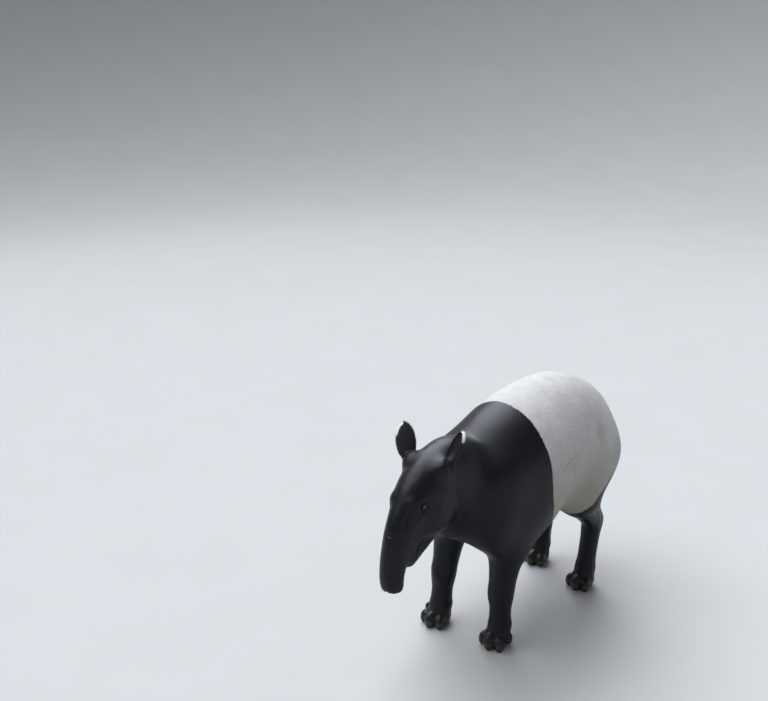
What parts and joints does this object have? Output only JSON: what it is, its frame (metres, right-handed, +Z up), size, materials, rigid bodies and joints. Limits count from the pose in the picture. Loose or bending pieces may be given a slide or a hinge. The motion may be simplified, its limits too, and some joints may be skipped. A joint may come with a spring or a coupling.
{
  "type": "malayan tapir",
  "caption": "Life-size still model of a standing Malayan tapir, black with a pale saddle, neck level and snout hanging.",
  "frame": {"origin": "on the floor, under the middle of the animal's bounding box", "axes": "+Z up, the animal faces -Y, its left side is +X"},
  "size_m": [0.5338, 1.6222, 1.0848],
  "materials": {
    "black_coat": "short glossy black hair over grey skin",
    "pale_coat": "short dull pale grey hair with dark specks",
    "eye": "wet dark brown",
    "hoof": "dull grey-brown horn"
  },
  "bodies": {
    "root": {"head": "black_coat", "snout": "black_coat", "ear_left": "black_coat", "ear_right": "black_coat", "eye_left": "eye", "eye_right": "eye", "neck": "black_coat", "forequarters": "black_coat", "saddle": "pale_coat", "tail": "black_coat", "leg_front_left": "black_coat", "leg_front_right": "black_coat", "leg_hind_left": "black_coat", "leg_hind_right": "black_coat", "hoof_front_left_1": "hoof", "hoof_front_left_2": "hoof", "hoof_front_left_3": "hoof", "hoof_front_left_4": "hoof", "hoof_front_right_1": "hoof", "hoof_front_right_2": "hoof", "hoof_front_right_3": "hoof", "hoof_front_right_4": "hoof", "hoof_hind_left_1": "hoof", "hoof_hind_left_2": "hoof", "hoof_hind_left_3": "hoof", "hoof_hind_right_1": "hoof", "hoof_hind_right_2": "hoof", "hoof_hind_right_3": "hoof"}
  },
  "joints": []
}
